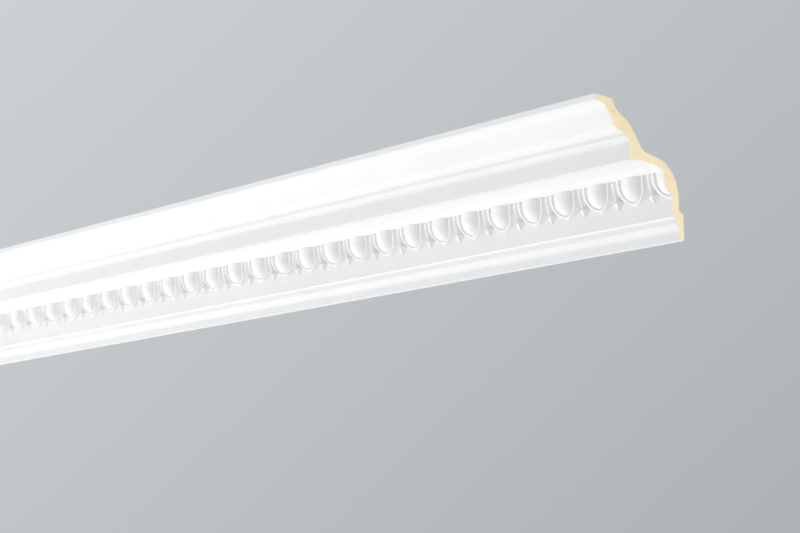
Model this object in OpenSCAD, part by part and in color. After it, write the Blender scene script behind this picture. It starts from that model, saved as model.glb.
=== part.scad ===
// A length of egg-and-dart cornice moulding for the corner between a wall and a ceiling.
// One rigid-foam casting: a moulded face, a hollowed back, and two flat gluing flanges.
// The length runs along X, the wall is the plane Y = 0 behind it, and +Z is up.
// The origin is the middle of the flange that lies on the wall.

/* [Overall] */
// Length of the piece, cut square at both ends
length = 1120; // [200:10:2400]
// How far the moulding comes down the wall
drop = 112; // [108:1:180]
// How far the moulding comes out along the ceiling
projection = 125; // [118:1:200]
// Width of one egg and one dart, before whole repeats are fitted to the length
repeat_w = 40; // [38:1:60]

/* [Crown] */
// Height of the upright edge at the ceiling
crown_edge_h = 5.5; // [3:0.5:8]
// Depth of the flat lip under that edge
crown_lip = 5.5; // [3:0.5:9]
// Height of the S-curved moulding below the lip
cyma_h = 21.2; // [17:0.2:30]
// Radius of its hollow upper bend
cyma_hollow_r = 14; // [8:0.5:18]
// Radius of its swelling lower bend
cyma_swell_r = 9; // [5:0.5:12]
// Slope of its straight middle, from level
cyma_slope = 54; // [48:1:64]
// Flat foot between the S-curve and the fillet
cyma_foot = 7.6; // [3:0.2:12]
// Height of the fillet over the corona
fillet_h = 4; // [2:0.5:6]
// Flat strip under that fillet
fillet_lip = 1.2; // [0.5:0.1:3]
// Radius of the small hollow that leads into the corona
corona_hollow_r = 5.6; // [2:0.2:8]
// Height of the corona's upright face below the hollow
corona_h = 14.5; // [10:0.1:24]

/* [Soffit] */
// Width of the drip edge under the corona
drip_w = 6; // [4:0.5:12]
// Height that the soffit stands above the drip edge
soffit_rise = 2.4; // [1:0.1:4]
// Width of the slope from the drip edge up to the soffit
soffit_ramp = 8; // [3:0.5:10]
// Width of the rounded step from the soffit down to the band's fillet
nosing_w = 5; // [3:0.5:8]
// Depth of the fillet that overhangs the eggs
band_lip = 5.6; // [3:0.2:8]

/* [Egg and dart band] */
// Distance from the wall to the front of the eggs
egg_out = 28.2; // [26:0.1:34]
// Half the width of an egg
egg_half_w = 11; // [9:0.5:12.5]
// Distance from the top of the band to the widest part of an egg
egg_shoulder = 6; // [4:0.5:8]
// Distance from the top of the band to the bottom of an egg
egg_bottom = 21; // [18:0.5:22]
// Half the width of the raised rim round an egg, at its crest
rim_half_w = 14.3; // [13.5:0.1:15.5]
// Width of that crest
rim_w = 1.2; // [0.8:0.1:1.6]
// Distance from the top of the band to the bottom of the rim
rim_bottom = 23.8; // [23:0.1:24.5]
// Setback of the rim from the front of the eggs, at the top
rim_set = 2.7; // [2:0.1:3.5]
// Radius on which the rim curves back to the wall as it goes down
rim_sweep_r = 45; // [40:1:70]
// Depth of the groove between an egg and its rim
groove_depth = 1.6; // [1:0.1:2.2]
// Height of an egg's lower edge above that groove
egg_lift = 1.6; // [0.6:0.1:2]
// Distance from the top of the band to the point under each egg
keel_bottom = 26.2; // [25.4:0.1:28]
// Setback of the ground behind the ornament from the front of the eggs
ground_set = 4.8; // [3.6:0.1:5.4]
// Height of the curved ground behind the ornament
ground_h = 16; // [14:0.5:19.5]
// Half the width of a dart's shaft
dart_half_w = 2.5; // [2:0.1:3]
// Half the width of a dart's head across its barbs
barb_half_w = 6.8; // [5:0.1:7.4]
// Distance from the top of the band to the barbs
barb_at = 19.2; // [18:0.1:20]
// Distance from the top of the band to the tip of a dart
dart_bottom = 27; // [24:0.2:29]
// Height of a dart's ridge above the ground, at the top of its shaft
dart_rise = 1.1; // [0.6:0.1:1.6]
// Height of a dart's ridge above the ground, at its barbs
barb_rise = 4.4; // [2:0.1:5.4]

/* [Frieze and foot] */
// Distance from the wall to the plain face of the frieze
frieze_out = 15.8; // [14:0.1:20]
// Height of the rounded lower edge of the frieze
frieze_round_h = 0.8; // [0.4:0.2:3]
// How far that edge turns back
frieze_round_in = 0.6; // [0.3:0.1:1.5]
// Depth of the step under the frieze
quirk = 3.9; // [2:0.1:4.5]
// Height of the foot moulding below the step
foot_h = 11.2; // [9:0.2:13]
// Height of its nearly upright upper face
foot_face_h = 5.6; // [4:0.2:6]
// How far that face comes in as it goes down
foot_face_in = 0.4; // [0:0.1:1]
// Radius of the bend under that face
foot_knee_r = 4; // [1:0.5:5]
// Radius of the small hollow that leads from the moulding to the edge at the wall
foot_hollow_r = 5; // [1:0.5:6]
// Height of the upright edge at the wall
foot_edge_h = 8.5; // [6:0.1:12]
// Thickness of that edge
foot_edge_w = 6; // [5:0.1:7]

/* [Back] */
// Thickness of the casting behind its faces
wall = 9.2; // [7:0.2:11]
// Width of the flange that lies on the ceiling
ceiling_flange = 24.5; // [15:0.5:30]
// Height of the flange that lies on the wall
wall_flange = 24; // [14:0.5:26]
// Depth of the hollow above the wall flange
relief = 6.6; // [5:0.1:7]

/* [Hidden] */

// Steps in the short bends, the long bends and each half of an egg
short_steps = 5;
long_steps = 8;
egg_steps = 5;

// Whole repeats in the length, and the width of one after fitting
repeats = max(1, round(length / repeat_w));
pitch = length / repeats;

// Levels below the ceiling, from the top down
lip_level = crown_edge_h;
cyma_level = lip_level + cyma_h;
fillet_level = cyma_level + fillet_h;
corona_level = fillet_level + corona_hollow_r + corona_h;
soffit_level = corona_level - soffit_rise;
band_level = corona_level;
ground_level = band_level + ground_h;
step_level = drop - foot_edge_h - foot_h;
frieze_level = step_level - frieze_round_h;
flange_level = drop - wall_flange;
origin_level = drop - wall_flange / 2;

// Distances from the wall, from the crown inwards
cyma_straight = (cyma_h - (cyma_hollow_r + cyma_swell_r) * (1 - cos(cyma_slope))) / sin(cyma_slope);
cyma_run = (cyma_hollow_r + cyma_swell_r) * sin(cyma_slope) + cyma_straight * cos(cyma_slope);
cyma_out = projection - crown_lip;
fillet_out = cyma_out - cyma_run - cyma_foot;
corona_out = fillet_out - fillet_lip - corona_hollow_r;
lip_out = egg_out + band_lip;
ground_out = egg_out - ground_set;
step_out = frieze_out - frieze_round_in - quirk;

// Radii of the two bends of the soffit
ramp_r = soffit_ramp / 2;
nosing_r = nosing_w / 3;

// How far the back line leans at the wall flange, over the soffit, behind the corona and at the ceiling
back_lean = 3.6;
soffit_lean = 5.4;
corona_lean = 1.2;
crown_lean = 4;
// Height that the corner at the ceiling flange comes down below the crown's lip
crown_back = 2.8;
// Distance from the corona's face to the inner corner behind it
back_hollow = 20;
// Radii of the back line's bends, from the ceiling to the wall
back_radii = [3, 6, 22, 9, 32, 1.5];
// Distances that the ornament's top and its feet are sunk into the casting, so that they join it
sunk = 0.6;
foot_sunk = 0.1;
// Plane inside the casting where the ornament is closed: its distance from the wall, and its slope
root_top = 19.8;
root_slope = 0.26;

// Roundness of an egg, as the radius of its face over its half width
egg_full = 1.15;
// Cosine below which a line from an egg's shoulder counts as upright
upright = 0.01;
// Distance from the edge of an egg to the bottom of its groove
groove_gap = 0.5;
// Rings of an egg, from its middle to its edge
egg_shares = [0.4, 0.75, 1];
// Where the upright sides of a shell turn in to its point, below the band's top
shield_corner = barb_at - 2.3;
// Where a dart's shaft spreads into its head, and half the width of its tip
shaft_end = barb_at - 2.1;
tip_half_w = 0.2;
dart_steps = 3;

// Points of the bend of radius r at b, between the directions of a and c
function bend(a, b, c, r, steps) =
    let (
        u = (a - b) / norm(a - b),
        v = (c - b) / norm(c - b),
        half = acos(u * v) / 2,
        middle = b + (u + v) / norm(u + v) * r / sin(half),
        from = b + u * r / tan(half) - middle,
        to = b + v * r / tan(half) - middle,
        start = atan2(from[1], from[0]),
        swing = atan2(from[0] * to[1] - from[1] * to[0], from * to)
    )
    [for (i = [0:steps]) middle + r * [cos(start + swing * i / steps), sin(start + swing * i / steps)]];

// A round face that starts upright at p, turns in by run and comes down by fall
function swell(p, run, fall, steps) =
    let (turn = 2 * atan(run / fall), r = norm([run, fall]) / 2 / sin(turn / 2))
    [for (i = [0:steps]) let (a = turn * i / steps) p + r * [cos(a) - 1, sin(a)]];

// How far such a face, upright at its start, has turned in at a distance y below it
function turned_in(y, run, fall) =
    let (r = (run * run + fall * fall) / (2 * run), at = min(max(y, 0), fall))
    r - sqrt(r * r - at * at);

// The moulded face as [out from the wall, down from the ceiling], from the ceiling to the wall
cyma_top = [cyma_out - cyma_hollow_r * tan(cyma_slope / 2), lip_level];
cyma_end = [fillet_out + cyma_foot + cyma_swell_r * tan(cyma_slope / 2), cyma_level];
fillet_foot = [fillet_out, fillet_level];
corona_top = [corona_out, fillet_level];
corona_foot = [corona_out, corona_level];
ramp_start = [corona_out - drip_w, corona_level];
ramp_end = [corona_out - drip_w - soffit_ramp, soffit_level];
nosing_start = [lip_out + nosing_w, soffit_level];
nosing_end = [lip_out, band_level];

foot_top = [step_out, step_level];
foot_knee = [step_out - foot_face_in, step_level + foot_face_h];
foot_corner = [foot_edge_w, step_level + foot_h];

face_points = concat(
    [[projection, 0], [projection, lip_level]],
    bend([projection, lip_level], cyma_top, cyma_end, cyma_hollow_r, long_steps),
    bend(cyma_top, cyma_end, [fillet_out, cyma_level], cyma_swell_r, long_steps),
    [[fillet_out, cyma_level], fillet_foot],
    bend(fillet_foot, corona_top, corona_foot, corona_hollow_r, short_steps),
    [corona_foot, ramp_start],
    bend(ramp_start, ramp_end, nosing_start, ramp_r, short_steps),
    bend(ramp_end, nosing_start, nosing_end, nosing_r, short_steps),
    [nosing_end, [ground_out, band_level]],
    swell([ground_out, band_level], ground_out - frieze_out, ground_h, long_steps),
    swell([frieze_out, frieze_level], frieze_round_in, frieze_round_h, short_steps),
    [foot_top],
    bend(foot_top, foot_knee, foot_corner, foot_knee_r, short_steps),
    bend(foot_knee, foot_corner, [foot_edge_w, drop], foot_hollow_r, short_steps),
    [[foot_edge_w, drop], [0, drop]]
);

// The hollowed back, from the wall flange up to the ceiling flange
back_corners = [
    [0, flange_level],
    [relief, flange_level - back_lean],
    [relief, soffit_level - wall + soffit_lean],
    [corona_out - back_hollow, soffit_level - wall],
    [corona_out - corona_lean, cyma_level - wall],
    [projection - ceiling_flange - crown_lean, lip_level + crown_back],
    [projection - ceiling_flange, 0],
];
back_points = concat(
    [back_corners[0]],
    [for (i = [1:5]) each
        bend(back_corners[i - 1], back_corners[i], back_corners[i + 1], back_radii[6 - i], short_steps)],
    [back_corners[6]]
);

// From [out, down] to the plane of the section, and from there to the model's own axes
function placed(p) = [-p[0], origin_level - p[1]];

module bar() {
    rotate([90, 0, 90])
        linear_extrude(height = length, center = true)
            polygon([for (p = concat(face_points, back_points)) placed(p)]);
}

// Distance from the wall of the ground, of the rim's crest and of the groove, at y below the band's top
function ground_at(y) = ground_out - turned_in(y, ground_out - frieze_out, ground_h);
function rim_at(y) = egg_out - rim_set - rim_sweep_r + sqrt(rim_sweep_r * rim_sweep_r - max(y, 0) * max(y, 0));
function groove_at(y) = rim_at(y) - groove_depth;
// A sloping plane inside the casting, on which every ornament is closed
function root_at(y) = root_top - root_slope * y;

// Upright sides, then half an ellipse, round the foot of an egg: points [across, below the band's top]
function u_line(half_w, bottom) = concat(
    [[half_w, -sunk]],
    [for (i = [0:2 * egg_steps]) let (a = 90 * i / egg_steps)
        [half_w * cos(a), egg_shoulder + (bottom - egg_shoulder) * sin(a)]],
    [[-half_w, -sunk]]
);

// The pointed outline of the shell that holds an egg, with a point for each one of u_line
function shield_line() =
    let (
        half_w = pitch / 2 - dart_half_w,
        lean = (keel_bottom - shield_corner) / half_w
    )
    concat(
        [[half_w, -sunk]],
        [for (i = [0:2 * egg_steps])
            let (
                a = 90 * i / egg_steps,
                to_side = half_w / max(abs(cos(a)), upright),
                to_keel = (keel_bottom - egg_shoulder) / (sin(a) + lean * abs(cos(a))),
                reach = min(to_side, to_keel)
            )
            [reach * cos(a), egg_shoulder + reach * sin(a)]],
        [[-half_w, -sunk]]
    );

// A point of the band: x along it, y below its top, and its distance from the wall
function on_band(x, y, out) = [x, -out, origin_level - band_level - y];

// Distance from the wall of an egg's edge, which stands clear of the groove at the bottom
function egg_edge_at(y) = groove_at(y) + egg_lift * max(0, y - egg_shoulder) / (egg_bottom - egg_shoulder);

// Points on an egg at a share s of the way from its middle to its edge
function egg_ring(s) =
    let (
        line = u_line(egg_half_w * s, egg_shoulder + (egg_bottom - egg_shoulder) * s),
        edge = u_line(egg_half_w, egg_bottom),
        fall = (egg_full - sqrt(egg_full * egg_full - s * s)) / (egg_full - sqrt(egg_full * egg_full - 1))
    )
    [for (i = [0:len(line) - 1])
        on_band(line[i][0], line[i][1], egg_out - (egg_out - egg_edge_at(edge[i][1])) * fall)];

// One egg in its shell: a relief closed on the plane inside the casting
module egg_and_shell() {
    groove = u_line(egg_half_w + groove_gap, egg_bottom + groove_gap);
    crest_in = u_line(rim_half_w - rim_w, rim_bottom - rim_w);
    crest_out = u_line(rim_half_w, rim_bottom);
    shield = shield_line();
    rings = concat(
        [for (s = egg_shares) egg_ring(s)],
        [
            [for (p = groove) on_band(p[0], p[1], groove_at(p[1]))],
            [for (p = crest_in) on_band(p[0], p[1], rim_at(p[1]))],
            [for (p = crest_out) on_band(p[0], p[1], rim_at(p[1]))],
            [for (p = shield) on_band(p[0], p[1], ground_at(p[1]) - foot_sunk)],
            [for (p = shield) on_band(p[0], p[1], root_at(p[1]))],
        ]
    );
    n = len(shield);
    last = len(rings) - 1;
    middle = n * len(rings);
    polyhedron(
        points = concat([for (ring = rings) each ring], [on_band(0, egg_shoulder, egg_out)]),
        faces = concat(
            [for (i = [0:n - 1]) [middle, i, (i + 1) % n]],
            [for (k = [0:last - 1], i = [0:n - 2]) each [
                [k * n + i, (k + 1) * n + i, (k + 1) * n + i + 1],
                [k * n + i, (k + 1) * n + i + 1, k * n + i + 1]]],
            [concat([for (k = [last:-1:0]) k * n], [for (k = [0:last]) k * n + n - 1])],
            [[for (i = [n - 1:-1:0]) last * n + i]]
        )
    );
}

// One dart: a ridged shaft that spreads into a barbed head
module dart() {
    stations = concat(
        [for (i = [0:dart_steps])
            let (share = i / dart_steps)
            [-sunk + (shaft_end + sunk) * share, dart_half_w, dart_rise + (barb_rise - dart_rise) * share * share]],
        [[barb_at, barb_half_w, barb_rise], [dart_bottom, tip_half_w, 0]]
    );
    rings = [for (s = stations) [
        on_band(-s[1], s[0], ground_at(s[0]) - foot_sunk),
        on_band(0, s[0], ground_at(s[0]) + s[2]),
        on_band(s[1], s[0], ground_at(s[0]) - foot_sunk),
        on_band(s[1], s[0], root_at(s[0])),
        on_band(-s[1], s[0], root_at(s[0])),
    ]];
    last = len(rings) - 1;
    polyhedron(
        points = [for (ring = rings) each ring],
        faces = concat(
            [[4, 3, 2, 1, 0]],
            [for (k = [0:last - 1], i = [0:4]) each [
                [k * 5 + i, k * 5 + (i + 1) % 5, (k + 1) * 5 + (i + 1) % 5],
                [k * 5 + i, (k + 1) * 5 + (i + 1) % 5, (k + 1) * 5 + i]]],
            [[for (i = [0:4]) last * 5 + i]]
        )
    );
}

// The band starts and ends at the middle of an egg, so its first and last eggs are halves
module egg_and_dart() {
    for (i = [1:repeats - 1])
        translate([-length / 2 + i * pitch, 0, 0]) egg_and_shell();
    for (i = [1:repeats])
        translate([-length / 2 + (i - 0.5) * pitch, 0, 0]) dart();
    for (end = [-1, 1])
        intersection() {
            translate([end * length / 2, 0, 0]) egg_and_shell();
            translate([end * (length - pitch) / 2, -egg_out / 2, origin_level - band_level - drop / 4])
                cube([pitch, 2 * egg_out, drop], center = true);
        }
}

module cornice() {
    color("white") {
        bar();
        egg_and_dart();
    }
}

cornice();
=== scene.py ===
"""A length of egg-and-dart cornice moulding in rigid foam, with its primed face, raw back and cut ends."""

import math

import bpy
from mathutils import Matrix, Vector


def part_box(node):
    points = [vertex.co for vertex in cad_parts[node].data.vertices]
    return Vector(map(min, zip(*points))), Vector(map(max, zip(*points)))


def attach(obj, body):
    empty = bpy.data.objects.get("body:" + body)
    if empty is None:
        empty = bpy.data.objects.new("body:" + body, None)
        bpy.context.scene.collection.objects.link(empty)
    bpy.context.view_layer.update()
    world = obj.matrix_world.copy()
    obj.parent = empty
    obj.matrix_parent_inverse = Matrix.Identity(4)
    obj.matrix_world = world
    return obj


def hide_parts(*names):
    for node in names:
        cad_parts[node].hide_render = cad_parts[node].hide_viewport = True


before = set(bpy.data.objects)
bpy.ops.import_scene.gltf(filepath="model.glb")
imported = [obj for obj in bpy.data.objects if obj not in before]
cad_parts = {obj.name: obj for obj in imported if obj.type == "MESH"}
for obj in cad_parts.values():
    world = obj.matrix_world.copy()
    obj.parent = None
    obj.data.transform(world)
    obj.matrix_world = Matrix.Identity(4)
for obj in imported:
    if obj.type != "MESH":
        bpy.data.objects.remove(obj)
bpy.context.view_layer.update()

# ---------------------------------------------------------------- sizes, in millimetres

MM = 0.001
low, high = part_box("cornice")
ceiling = high.z
length = (high.x - low.x) / MM
drop = (high.z - low.z) / MM
projection = (high.y - low.y) / MM

# Crown: an upright edge, an S-curve, a fillet and the corona
crown_edge_h = 5.5
crown_lip = 5.5
cyma_h = 21.2
cyma_hollow_r = 14
cyma_swell_r = 9
cyma_slope = math.radians(54)
cyma_foot = 7.6
fillet_h = 4
fillet_lip = 1.2
corona_hollow_r = 5.6
corona_h = 14.5

# Soffit, between the corona's drip edge and the fillet over the eggs
drip_w = 6
soffit_rise = 2.4
soffit_ramp = 8
nosing_w = 5
band_lip = 5.6

# Frieze and foot
frieze_out = 15.8
frieze_round_h = 0.8
frieze_round_in = 0.6
quirk = 3.9
foot_h = 11.2
foot_face_h = 5.6
foot_face_in = 0.4
foot_knee_r = 4
foot_hollow_r = 5
foot_edge_h = 8.5
foot_edge_w = 6

# Hollow back and its two gluing flanges
wall = 9.2
ceiling_flange = 24.5
wall_flange = 24
relief = 6.6
back_lean = 3.6
soffit_lean = 5.4
corona_lean = 1.2
crown_lean = 4
crown_back = 2.8
back_hollow = 20
back_radii = [1.5, 32, 9, 22, 6]

# Egg-and-dart band: across is from the middle of an egg or dart, down is from the band's top
repeat_w = 40
egg_out = 28.2
egg_half_w = 11
egg_shoulder = 6
egg_bottom = 21
egg_full = 1.15
egg_lift = 1.6
groove_gap = 0.5
groove_depth = 1.6
rim_half_w = 14.3
rim_w = 1.2
rim_bottom = 23.8
rim_set = 2.7
rim_sweep_r = 45
keel_bottom = 26.2
ground_set = 4.8
ground_h = 16
dart_half_w = 2.5
dart_rise = 1.1
barb_half_w = 6.8
barb_rise = 4.4
barb_at = 19.2
dart_bottom = 27
dart_tip_half_w = 0.2
shaft_end = barb_at - 2.1
shield_corner = barb_at - 2.3

# Roots of the ornament: past the band's top, under the ground, and on a sloping plane in the casting
sunk = 0.6
foot_sunk = 0.1
root_top = 19.8
root_slope = 0.26

# Edges of the shell: the rounding of its rim, the lip of its groove and the hollow of its outer slope
crest_round = 0.25
crest_fall = 0.04
rim_crests = [0.7, 0.3]
rim_foot_w = 0.35
rim_foot_fall = 0.5
groove_lip_w = 0.3
groove_lip_rise = 0.1
slope_hollow = 1.5

# Soft arris that the mould leaves on the edges of the face, given to corners that turn more than this
arris = 0.4
arris_turn = math.radians(30)

# Edges that turn less than this are shaded smooth
smooth_turn = math.radians(32)

# Fineness of the shapes: degrees between the points of a bend, its least steps, and steps or rows elsewhere
bend_step = 6
bend_least = 4
upright_steps = 4
side_steps = 6
keel_steps = 10
egg_rows = 11
slope_rows = 5
shaft_steps = 8
head_steps = 4

# Points nearer to each other than these are one point: on a line, in a mesh, after a union, and at a cut
same_point = 0.0001
weld = 0.01
union_weld = 0.02
cut_weld = 0.001

# Least cosine that is divided by
least_cosine = 0.001

# How far the one repeat is made past its ends, before it is cut
spare = 4

# A face of the casting is raw foam if its normal leans this much to the corner of wall and ceiling
raw_tilt = 0.05

repeats = max(1, round(length / repeat_w))
pitch = length / repeats

lip_level = crown_edge_h
cyma_level = lip_level + cyma_h
fillet_level = cyma_level + fillet_h
band_level = fillet_level + corona_hollow_r + corona_h
soffit_level = band_level - soffit_rise
step_level = drop - foot_edge_h - foot_h
frieze_level = step_level - frieze_round_h

cyma_bends = cyma_hollow_r + cyma_swell_r
cyma_straight = (cyma_h - cyma_bends * (1 - math.cos(cyma_slope))) / math.sin(cyma_slope)
cyma_run = cyma_bends * math.sin(cyma_slope) + cyma_straight * math.cos(cyma_slope)
cyma_out = projection - crown_lip
fillet_out = cyma_out - cyma_run - cyma_foot
corona_out = fillet_out - fillet_lip - corona_hollow_r
ground_out = egg_out - ground_set
step_out = frieze_out - frieze_round_in - quirk
ramp_r = soffit_ramp / 2
nosing_r = nosing_w / 3


# ---------------------------------------------------------------- small helpers

def placed(across, out, down):
    """A point in metres: across is along the length, out is from the wall, down is from the ceiling."""
    return Vector((across * MM, -out * MM, ceiling - down * MM))


def only(piece):
    """Makes piece the one selected and active object."""
    bpy.ops.object.select_all(action="DESELECT")
    piece.select_set(True)
    bpy.context.view_layer.objects.active = piece


def named(name):
    """Names the primitive that was just added."""
    piece = bpy.context.object
    piece.name = name
    piece.data.name = name
    return piece


def edit(piece):
    """Opens piece in edit mode, with all of it selected."""
    only(piece)
    bpy.ops.object.mode_set(mode="EDIT")
    bpy.ops.mesh.select_mode(type="VERT")
    bpy.ops.mesh.select_all(action="SELECT")


def done():
    """Leaves edit mode."""
    bpy.ops.object.mode_set(mode="OBJECT")


def edit_some(piece, numbers):
    """Opens piece in edit mode, with only the vertices of those numbers selected."""
    edit(piece)
    bpy.ops.mesh.select_all(action="DESELECT")
    done()
    for number in numbers:
        piece.data.vertices[number].select = True
    bpy.ops.object.mode_set(mode="EDIT")


def apply_modifier(piece, kind, **settings):
    """Adds a modifier to piece and applies it."""
    only(piece)
    modifier = piece.modifiers.new(kind.lower(), kind)
    for key, value in settings.items():
        setattr(modifier, key, value)
    bpy.ops.object.modifier_apply(modifier=modifier.name)


# ---------------------------------------------------------------- the section

def bend(before, corner, after, radius):
    """Where a bend of that radius starts at a corner, its centre, and the angle that it turns."""
    before, corner, after = Vector(before), Vector(corner), Vector(after)
    back, on = (before - corner).normalized(), (after - corner).normalized()
    half = back.angle(on) / 2
    centre = corner + (back + on).normalized() * radius / math.sin(half)
    start = corner + back * radius / math.tan(half)
    end = corner + on * radius / math.tan(half)
    a, b = start - centre, end - centre
    return start, centre, math.atan2(a.x * b.y - a.y * b.x, a.dot(b))


def swell(start, run, fall):
    """A round face that starts upright, turns in by run and comes down by fall."""
    turn = 2 * math.atan(run / fall)
    radius = math.hypot(run, fall) / 2 / math.sin(turn / 2)
    return Vector(start), Vector(start) - Vector((radius, 0)), turn


def section_path():
    """The section as runs and bends: down the face from the crown's edge, then up the back."""
    cyma_top = (cyma_out - cyma_hollow_r * math.tan(cyma_slope / 2), lip_level)
    cyma_end = (fillet_out + cyma_foot + cyma_swell_r * math.tan(cyma_slope / 2), cyma_level)
    corona_top = (corona_out, fillet_level)
    ramp_start = (corona_out - drip_w, band_level)
    ramp_end = (corona_out - drip_w - soffit_ramp, soffit_level)
    nosing_start = (egg_out + band_lip + nosing_w, soffit_level)
    nosing_end = (egg_out + band_lip, band_level)
    foot_top = (step_out, step_level)
    foot_knee = (step_out - foot_face_in, step_level + foot_face_h)
    foot_corner = (foot_edge_w, step_level + foot_h)
    face = [
        (projection, lip_level),
        bend((projection, lip_level), cyma_top, cyma_end, cyma_hollow_r),
        bend(cyma_top, cyma_end, (fillet_out, cyma_level), cyma_swell_r),
        (fillet_out, cyma_level),
        (fillet_out, fillet_level),
        bend((fillet_out, fillet_level), corona_top, (corona_out, band_level), corona_hollow_r),
        (corona_out, band_level),
        ramp_start,
        bend(ramp_start, ramp_end, nosing_start, ramp_r),
        bend(ramp_end, nosing_start, nosing_end, nosing_r),
        nosing_end,
        swell((ground_out, band_level), ground_out - frieze_out, ground_h),
        swell((frieze_out, frieze_level), frieze_round_in, frieze_round_h),
        foot_top,
        bend(foot_top, foot_knee, foot_corner, foot_knee_r),
        bend(foot_knee, foot_corner, (foot_edge_w, drop), foot_hollow_r),
        (foot_edge_w, drop),
        (0, drop),
    ]
    corners = [
        (0, drop - wall_flange),
        (relief, drop - wall_flange - back_lean),
        (relief, soffit_level - wall + soffit_lean),
        (corona_out - back_hollow, soffit_level - wall),
        (corona_out - corona_lean, cyma_level - wall),
        (projection - ceiling_flange - crown_lean, lip_level + crown_back),
        (projection - ceiling_flange, 0),
    ]
    bends = [bend(*corners[i:i + 3], radius) for i, radius in enumerate(back_radii)]
    return face + [corners[0]] + bends + [corners[-1]]


def draw_section(start, path):
    """Pulls one vertex along the runs, spins it round the bends and fills the outline that it leaves."""
    bpy.ops.mesh.primitive_plane_add(size=MM)
    piece = named("cornice_length")
    edit(piece)
    bpy.ops.mesh.merge(type="CENTER")
    bpy.ops.transform.translate(value=placed(0, *start))
    here = Vector(start)
    for stop in path:
        is_bend = len(stop) == 3
        there = Vector(stop[0] if is_bend else stop)
        if (there - here).length > same_point:
            step = placed(0, *there) - placed(0, *here)
            bpy.ops.mesh.extrude_region_move(TRANSFORM_OT_translate={"value": step})
        here = there
        if is_bend:
            centre, angle = stop[1:]
            steps = max(bend_least, round(abs(math.degrees(angle)) / bend_step))
            bpy.ops.mesh.spin(steps=steps, angle=angle, center=placed(0, *centre), axis=(-1, 0, 0))
            here = centre + Matrix.Rotation(angle, 2) @ (here - centre)
    bpy.ops.mesh.select_all(action="SELECT")
    bpy.ops.mesh.remove_doubles(threshold=weld * MM)
    bpy.ops.mesh.edge_face_add()
    done()
    return piece


def widened(piece, start, end):
    """Pulls a flat section along the length, from start to end."""
    edit(piece)
    bpy.ops.transform.translate(value=(start * MM, 0, 0))
    bpy.ops.mesh.extrude_region_move(TRANSFORM_OT_translate={"value": ((end - start) * MM, 0, 0)})
    bpy.ops.mesh.select_all(action="SELECT")
    bpy.ops.mesh.normals_make_consistent(inside=False)
    done()


def soften_corners(piece):
    """Rounds the corners of the flat section by the mould's arris."""
    outline = list(piece.data.polygons[0].vertices)
    points = [piece.data.vertices[number].co.copy() for number in outline]
    corners = []
    for i, number in enumerate(outline):
        before, after = points[i] - points[i - 1], points[(i + 1) % len(points)] - points[i]
        if before.angle(after) > arris_turn:
            corners.append(number)
    edit_some(piece, corners)
    bpy.ops.mesh.bevel(offset=arris * MM, segments=2, affect="VERTICES", clamp_overlap=True)
    done()


# ---------------------------------------------------------------- the ornament

def ground_at(y):
    """Distance from the wall of the curved ground, at y below the band's top."""
    run = ground_out - frieze_out
    radius = (run * run + ground_h * ground_h) / (2 * run)
    fall = min(max(y, 0), ground_h)
    return ground_out - radius + math.sqrt(radius * radius - fall * fall)


def rim_at(y):
    """Distance from the wall of the rim's crest, which sweeps back lower down."""
    return egg_out - rim_set - rim_sweep_r + math.sqrt(rim_sweep_r ** 2 - max(y, 0) ** 2)


def egg_edge_at(y):
    """Distance from the wall of an egg's edge, which stands clear of its groove lower down."""
    share = max(0, y - egg_shoulder) / (egg_bottom - egg_shoulder)
    return rim_at(y) - groove_depth + egg_lift * share


def stations():
    """Places round half an egg: a height on its upright side, or a turn round its lower end."""
    corner_turn = math.atan2(shield_corner - egg_shoulder, pitch / 2 - dart_half_w)
    tops = [(-sunk + (egg_shoulder + sunk) * i / upright_steps, 0) for i in range(upright_steps)]
    sides = [(egg_shoulder, corner_turn * i / side_steps) for i in range(side_steps)]
    rest = math.pi / 2 - corner_turn
    keel = [(egg_shoulder, corner_turn + rest * i / keel_steps) for i in range(keel_steps + 1)]
    return tops + sides + keel


def u_point(half_w, bottom, station):
    """A point of a U: upright sides, then half an ellipse."""
    y, turn = station
    if turn == 0:
        return Vector((half_w, y))
    return Vector((half_w * math.cos(turn), egg_shoulder + (bottom - egg_shoulder) * math.sin(turn)))


def shield_point(station):
    """A point of the pointed outline of the shell that holds an egg."""
    y, turn = station
    half_w = pitch / 2 - dart_half_w
    if turn == 0:
        return Vector((half_w, y))
    lean = (keel_bottom - shield_corner) / half_w
    to_side = half_w / max(math.cos(turn), least_cosine)
    to_keel = (keel_bottom - egg_shoulder) / (math.sin(turn) + lean * math.cos(turn))
    reach = min(to_side, to_keel)
    return Vector((reach * math.cos(turn), egg_shoulder + reach * math.sin(turn)))


def egg_row(share):
    """A row of the egg, at a share of the way from its middle to its edge."""
    fall = egg_full - math.sqrt(egg_full ** 2 - share ** 2)
    fall /= egg_full - math.sqrt(egg_full ** 2 - 1)

    def place(station):
        point = u_point(egg_half_w * share, egg_shoulder + (egg_bottom - egg_shoulder) * share, station)
        edge = egg_edge_at(u_point(egg_half_w, egg_bottom, station).y)
        return point, egg_out - (egg_out - edge) * fall
    return place


def rim_row(inset, depth):
    """A row of the rim, that far inside its outer crest and that far behind it."""
    def place(station):
        point = u_point(rim_half_w - inset, rim_bottom - inset, station)
        return point, rim_at(point.y) - depth
    return place


def bevel_row(share):
    """A row of the shell's outer slope, from the crest to the outline sunk in the ground."""
    def place(station):
        crest = u_point(rim_half_w, rim_bottom, station)
        foot = shield_point(station)
        crest_out, foot_out = rim_at(crest.y) - crest_round, ground_at(foot.y) - foot_sunk
        return crest.lerp(foot, share), foot_out + (crest_out - foot_out) * (1 - share) ** slope_hollow
    return place


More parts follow.
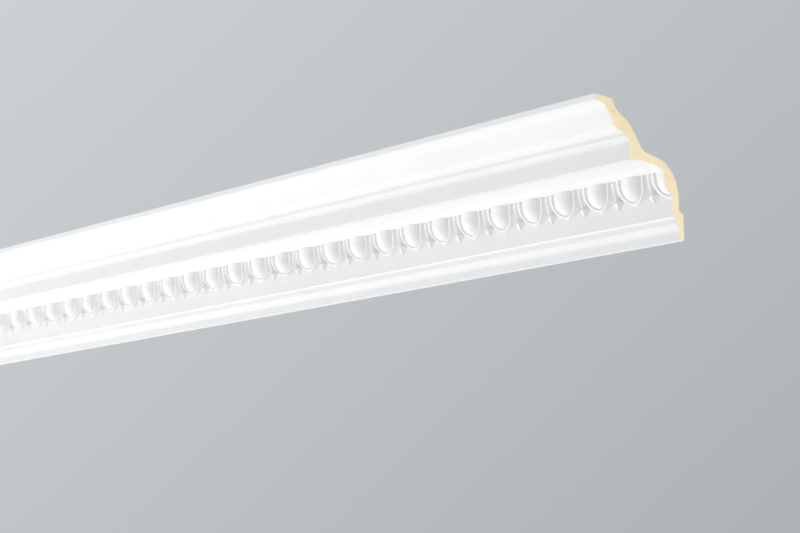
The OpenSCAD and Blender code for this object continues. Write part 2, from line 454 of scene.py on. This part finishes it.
groove_inset = rim_half_w - egg_half_w - groove_gap
shell_rows = [egg_row(math.sin(math.pi / 2 * i / egg_rows)) for i in range(egg_rows + 1)]
shell_rows += [
    rim_row(groove_inset, groove_depth),
    rim_row(groove_inset - groove_lip_w, groove_depth - groove_lip_rise),
    rim_row(rim_w + rim_foot_w, rim_foot_fall),
    rim_row(rim_w, crest_round),
]
shell_rows += [rim_row(rim_w * share, crest_fall) for share in rim_crests]
shell_rows += [bevel_row(i / slope_rows) for i in range(slope_rows + 1)]


def relief_sheet(name, columns, rows, shape, middle):
    """A sheet whose points shape gives, closed on a sloping plane inside the casting."""
    bpy.ops.mesh.primitive_grid_add(x_subdivisions=columns, y_subdivisions=rows, size=1)
    piece = named(name)

    # The grid is 1 wide and 1 high, with its middle at the origin
    for vertex in piece.data.vertices:
        column = round((vertex.co.x + 0.5) * columns)
        row = round((vertex.co.y + 0.5) * rows)
        point, out = shape(column, row)
        vertex.co = placed(middle + point.x, out, band_level + point.y)
    edit(piece)
    bpy.ops.mesh.remove_doubles(threshold=weld * MM)
    bpy.ops.mesh.extrude_region_move()
    hinge = placed(0, root_top, band_level)
    bpy.ops.transform.resize(value=(1, 0, 1), center_override=hinge)
    bpy.ops.transform.rotate(value=-math.atan(root_slope), orient_axis="X", center_override=hinge)
    bpy.ops.mesh.select_all(action="SELECT")
    bpy.ops.mesh.remove_doubles(threshold=weld * MM)
    bpy.ops.mesh.normals_make_consistent(inside=False)
    done()
    return piece


half_line = stations()
last = len(half_line) - 1


def shell_shape(column, row):
    """The left half of an egg and its shell comes first, then the right half."""
    point, out = shell_rows[row](half_line[last - abs(column - last)])
    side = -1 if column < last else 1
    return Vector((side * point.x, point.y)), out


def shaft_station(i):
    """The dart's shaft, whose ridge rises slowly at first."""
    rise = dart_rise + (barb_rise - dart_rise) * (i / shaft_steps) ** 2
    return -sunk + (shaft_end + sunk) * i / shaft_steps, dart_half_w, rise


def head_station(i):
    """The dart's head, which runs from its barbs to its tip."""
    half_w = barb_half_w + (dart_tip_half_w - barb_half_w) * i / head_steps
    return barb_at + (dart_bottom - barb_at) * i / head_steps, half_w, barb_rise * (1 - i / head_steps)


# Along the dart: distance below the band's top, half width, and rise of its ridge
dart_stations = [shaft_station(i) for i in range(shaft_steps + 1)]
dart_stations += [head_station(i) for i in range(head_steps + 1)]

# Across the dart: share of its half width, and share of its rise
dart_columns = [(-1, 0), (-0.5, 0.38), (-0.12, 0.9), (0, 1), (0.12, 0.9), (0.5, 0.38), (1, 0)]


def dart_shape(column, row):
    """A dart with a sharp ridge and slightly hollow faces."""
    y, half_w, rise = dart_stations[row]
    side, share = dart_columns[column]
    return Vector((side * half_w, y)), ground_at(y) - foot_sunk + (rise + foot_sunk) * share


# ---------------------------------------------------------------- finishes

PRIMER = (0.875, 0.875, 0.872)
PRIMER_THIN = (0.855, 0.855, 0.852)
FOAM_PALE = (0.86, 0.74, 0.5)
FOAM_DEEP = (0.78, 0.62, 0.37)
# The pore colour is painted shade for the pits of the sawn foam's cells
FOAM_PORE_SHADE = (0.6, 0.46, 0.25)
FOAM_SCORCH = (0.56, 0.4, 0.17)

# Scorched spot on the right sawn end: distance from wall and ceiling, and radius of its core and its edge
scorch_out = 99.4
scorch_down = 11.4
scorch_core = 0.6
scorch_edge = 3.2

# Overspray on the raw back: its reach from the foot and from the crown, and how far its edge wanders
foot_haze_w = 7
crown_haze_w = 8
haze_drift = 3
haze_share = 0.9


def finish_nodes(name, roughness):
    """A new material's own surface shader, with the object's coordinates to build its detail on."""
    material = bpy.data.materials.new(name)
    material.use_nodes = True
    nodes = material.node_tree.nodes
    shader = nodes["Principled BSDF"]
    shader.inputs["Roughness"].default_value = roughness
    place = nodes.new("ShaderNodeTexCoord")
    return material, shader, place.outputs["Object"]


def noise(material, place, grain, detail, stretch=None):
    """Soft random patches about as wide as grain, in millimetres."""
    nodes, links = material.node_tree.nodes, material.node_tree.links
    if stretch:
        mapping = nodes.new("ShaderNodeMapping")
        mapping.inputs["Scale"].default_value = stretch
        links.new(place, mapping.inputs["Vector"])
        place = mapping.outputs["Vector"]
    texture = nodes.new("ShaderNodeTexNoise")
    texture.inputs["Scale"].default_value = 1 / (grain * MM)
    texture.inputs["Detail"].default_value = detail
    links.new(place, texture.inputs["Vector"])
    return texture.outputs["Fac"]


def cells(material, place, grain):
    """Distance to the middle of cells about as wide as grain, in millimetres."""
    nodes, links = material.node_tree.nodes, material.node_tree.links
    texture = nodes.new("ShaderNodeTexVoronoi")
    texture.inputs["Scale"].default_value = 1 / (grain * MM)
    links.new(place, texture.inputs["Vector"])
    return texture.outputs["Distance"]


def spread(owner, value, low_in, high_in, low_out, high_out):
    """Maps a value from one range to another and holds it there, in a material or the surround."""
    nodes, links = owner.node_tree.nodes, owner.node_tree.links
    node = nodes.new("ShaderNodeMapRange")
    for socket, number in zip(node.inputs[1:5], (low_in, high_in, low_out, high_out)):
        socket.default_value = number
    links.new(value, node.inputs["Value"])
    return node.outputs["Result"]


def blend(owner, share, first, second):
    """A colour between two others, each a colour or another node's output, in a material or the surround."""
    nodes, links = owner.node_tree.nodes, owner.node_tree.links
    node = nodes.new("ShaderNodeMix")
    node.data_type = "RGBA"
    links.new(share, node.inputs["Factor"])
    for socket, colour in ((node.inputs[6], first), (node.inputs[7], second)):
        if isinstance(colour, tuple):
            socket.default_value = (*colour, 1)
        else:
            links.new(colour, socket)
    return node.outputs[2]


def maths(material, operation, first, second):
    """What an operation makes of the outputs of two other nodes."""
    nodes, links = material.node_tree.nodes, material.node_tree.links
    node = nodes.new("ShaderNodeMath")
    node.operation = operation
    links.new(first, node.inputs[0])
    links.new(second, node.inputs[1])
    return node.outputs["Value"]


def bump(material, height, depth, under=None):
    """A surface raised by height, whose full range is depth millimetres."""
    nodes, links = material.node_tree.nodes, material.node_tree.links
    node = nodes.new("ShaderNodeBump")
    node.inputs["Strength"].default_value = 1
    node.inputs["Distance"].default_value = depth * MM
    links.new(height, node.inputs["Height"])
    if under:
        links.new(under, node.inputs["Normal"])
    return node.outputs["Normal"]


def white_primer():
    """Sprayed water-based primer: matt, nearly even, with a fine tooth."""
    material, shader, place = finish_nodes("white_primer", roughness=0.5)
    links = material.node_tree.links
    patches = noise(material, place, grain=55, detail=4)
    tooth = noise(material, place, grain=0.7, detail=2)
    colour = blend(material, spread(material, patches, 0.35, 0.65, 0, 1), PRIMER, PRIMER_THIN)
    links.new(colour, shader.inputs["Base Color"])
    links.new(spread(material, patches, 0.3, 0.7, 0.46, 0.58), shader.inputs["Roughness"])
    ripple = bump(material, noise(material, place, grain=9, detail=2), depth=0.05)
    links.new(bump(material, tooth, depth=0.012, under=ripple), shader.inputs["Normal"])
    return material


def raw_skin():
    """The foam's own smooth skin, as it leaves the mould, with a haze of primer near the face."""
    material, shader, place = finish_nodes("raw_foam_skin", roughness=0.62)
    nodes, links = material.node_tree.nodes, material.node_tree.links
    patches = noise(material, place, grain=28, detail=5)
    colour = blend(material, spread(material, patches, 0.32, 0.68, 0, 1), FOAM_PALE, FOAM_DEEP)
    split = nodes.new("ShaderNodeSeparateXYZ")
    links.new(place, split.inputs["Vector"])
    wander = noise(material, place, grain=16, detail=4)
    drift = spread(material, wander, 0.25, 0.75, -haze_drift * MM, haze_drift * MM)
    foot = maths(material, "ADD", split.outputs["Z"], drift)
    crown = maths(material, "ADD", split.outputs["Y"], drift)
    foot_haze = spread(material, foot, low.z, low.z + foot_haze_w * MM, haze_share, 0)
    crown_haze = spread(material, crown, low.y, low.y + crown_haze_w * MM, haze_share, 0)
    haze = maths(material, "MAXIMUM", foot_haze, crown_haze)
    links.new(blend(material, haze, colour, PRIMER), shader.inputs["Base Color"])
    links.new(spread(material, patches, 0.3, 0.7, 0.5, 0.72), shader.inputs["Roughness"])
    dimples = bump(material, noise(material, place, grain=6, detail=4), depth=0.22)
    skin = bump(material, cells(material, place, grain=1.1), depth=0.03, under=dimples)
    links.new(skin, shader.inputs["Normal"])
    return material


def cut_foam():
    """Foam sawn square: closed cells with painted shade in their pits, faint saw lines and one small
    scorched spot.
    """
    material, shader, place = finish_nodes("cut_foam", roughness=0.8)
    nodes, links = material.node_tree.nodes, material.node_tree.links
    patches = noise(material, place, grain=12, detail=5)
    colour = blend(material, spread(material, patches, 0.36, 0.64, 0.15, 0.6), FOAM_PALE, FOAM_DEEP)
    pores = cells(material, place, grain=0.45)
    # The middles of the cells are darkened toward the pore colour: painted shade in the cut pits
    pore_shade = spread(material, pores, 0, 0.3, 0.55, 0)
    colour = blend(material, pore_shade, colour, FOAM_PORE_SHADE)
    spot = nodes.new("ShaderNodeVectorMath")
    spot.operation = "DISTANCE"
    links.new(place, spot.inputs[0])
    spot.inputs[1].default_value = placed(length / 2, scorch_out, scorch_down)
    scorch = spread(material, spot.outputs["Value"], scorch_core * MM, scorch_edge * MM, 0.5, 0)
    colour = blend(material, scorch, colour, FOAM_SCORCH)
    links.new(colour, shader.inputs["Base Color"])
    saw_lines = noise(material, place, grain=1.2, detail=2, stretch=(1, 0.08, 1))
    saw = bump(material, saw_lines, depth=0.06)
    links.new(bump(material, pores, depth=0.1, under=saw), shader.inputs["Normal"])
    return material


# The finishes, and the number of the slot that each has on a piece
finishes = [white_primer(), raw_skin(), cut_foam()]
white, raw, sawn = range(3)


# ---------------------------------------------------------------- the moulding

def add_finishes(piece):
    """Gives piece a slot for each finish, the white one first."""
    for material in finishes:
        piece.data.materials.append(material)


def share_finishes(piece):
    """White on the face, raw foam wherever a face of the casting looks to the corner behind it."""
    for face in piece.data.polygons:
        face.material_index = raw if face.normal.y + face.normal.z > raw_tilt else white


def cut_at(piece, place, side):
    """Cuts piece square across its length and drops what lies past the cut, on that side."""
    edit(piece)
    bpy.ops.mesh.bisect(
        plane_co=(place * MM, 0, 0), plane_no=(side, 0, 0), clear_outer=True, threshold=cut_weld * MM)
    done()


def close_end(piece, place):
    """Fills the open end of the casting there with sawn foam."""
    rim = [vertex.index for vertex in piece.data.vertices if abs(vertex.co.x - place * MM) < weld * MM]
    edit_some(piece, rim)
    bpy.ops.mesh.edge_face_add()
    piece.active_material_index = sawn
    bpy.ops.object.material_slot_assign()
    done()


shell = relief_sheet("shell", 2 * last, len(shell_rows) - 1, shell_shape, pitch / 2)
dart = relief_sheet("dart", len(dart_columns) - 1, len(dart_stations) - 1, dart_shape, 0)
moulding = draw_section((projection, 0), section_path())
soften_corners(moulding)
widened(moulding, -spare, pitch / 2 + spare)
add_finishes(moulding)
share_finishes(moulding)
for ornament in (shell, dart):
    add_finishes(ornament)
    apply_modifier(moulding, "BOOLEAN", operation="UNION", solver="MANIFOLD", object=ornament)
    bpy.data.objects.remove(ornament)

# From the middle of a dart to the middle of an egg, mirrored, and set side by side along the length
cut_at(moulding, 0, -1)
cut_at(moulding, pitch / 2, 1)
edit(moulding)
bpy.ops.mesh.remove_doubles(threshold=union_weld * MM)
bpy.ops.mesh.dissolve_degenerate(threshold=union_weld * MM)
bpy.ops.mesh.delete_loose()
done()
apply_modifier(moulding, "MIRROR", use_axis=(True, False, False), merge_threshold=weld * MM)
edit(moulding)
bpy.ops.transform.translate(value=((pitch - length) / 2 * MM, 0, 0))
done()
apply_modifier(
    moulding, "ARRAY", count=repeats, use_relative_offset=False, use_constant_offset=True,
    constant_offset_displace=(pitch * MM, 0, 0), use_merge_vertices=True, merge_threshold=weld * MM)
for end in (-length / 2, length / 2):
    close_end(moulding, end)
edit(moulding)
bpy.ops.mesh.normals_make_consistent(inside=False)
done()
only(moulding)
bpy.ops.object.shade_smooth_by_angle(angle=smooth_turn)
apply_modifier(moulding, "WEIGHTED_NORMAL", weight=60, keep_sharp=True)

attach(moulding, "root")
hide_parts("cornice")

# ---------------------------------------------------------------- studio

floor_size = 90
floor_level = -3.6
floor_dark = (0.58, 0.6, 0.62)
floor_pale = (0.6, 0.62, 0.64)
surround_dark = (0.423, 0.448, 0.467)
surround_pale = (0.604, 0.634, 0.656)

bpy.ops.mesh.primitive_plane_add(size=floor_size, location=(0, 0, floor_level))
floor = named("studio_floor")
floor_finish, floor_shader, floor_place = finish_nodes("studio_floor", roughness=0.8)
floor_patches = noise(floor_finish, floor_place, grain=700, detail=2)
floor_share = spread(floor_finish, floor_patches, 0.3, 0.7, 0, 1)
floor_tone = blend(floor_finish, floor_share, floor_dark, floor_pale)
floor_finish.node_tree.links.new(floor_tone, floor_shader.inputs["Base Color"])
floor.data.materials.append(floor_finish)

# A plain grey surround that darkens a little to the right and downwards
world = bpy.data.worlds.new("studio")
bpy.context.scene.world = world
world.use_nodes = True
surround = world.node_tree
around = surround.nodes.new("ShaderNodeTexCoord")
sideways = surround.nodes.new("ShaderNodeVectorMath")
sideways.operation = "DOT_PRODUCT"
sideways.inputs[1].default_value = (-0.38, -0.58, 0.72)
surround.links.new(around.outputs["Generated"], sideways.inputs[0])
shade = spread(world, sideways.outputs["Value"], -0.25, 0.25, 0, 1)
tone = blend(world, shade, surround_dark, surround_pale)
surround.links.new(tone, surround.nodes["Background"].inputs["Color"])


def soft_light(name, azimuth, elevation, distance, size, power):
    """A large soft light, its azimuth in degrees to the right of straight in front of the piece."""
    turn, rise = math.radians(azimuth), math.radians(elevation)
    direction = Vector((math.sin(turn) * math.cos(rise), -math.cos(turn) * math.cos(rise), math.sin(rise)))
    data = bpy.data.lights.new(name, "AREA")
    data.shape = "DISK"
    data.size = size
    data.energy = power
    data.color = WARM
    lamp = bpy.data.objects.new(name, data)
    bpy.context.scene.collection.objects.link(lamp)
    lamp.location = direction * distance
    lamp.rotation_euler = direction.to_track_quat("Z", "Y").to_euler()
    lamp.visible_camera = False


WARM = (1, 0.965, 0.935)
soft_light("side_light", azimuth=-90, elevation=-30, distance=5, size=3.6, power=52)
soft_light("front_light", azimuth=-45, elevation=-20, distance=5, size=3.6, power=127)
soft_light("low_light", azimuth=0, elevation=-90, distance=3.4, size=3.2, power=50)
soft_light("high_light", azimuth=-30, elevation=50, distance=5, size=3.6, power=45)
soft_light("end_light", azimuth=126, elevation=6, distance=4, size=2, power=112)

view = bpy.data.cameras.new("view")
view.sensor_width = 36
view.lens = 79.515
camera = bpy.data.objects.new("view", view)
bpy.context.scene.collection.objects.link(camera)
camera.location = (1.4715, -1.2918, -0.3518)
forward = Vector((-0.68759, 0.69838, 0.19874))
camera.rotation_euler = forward.to_track_quat("-Z", "Y").to_euler()
bpy.context.scene.camera = camera
bpy.context.scene.view_settings.view_transform = "Standard"
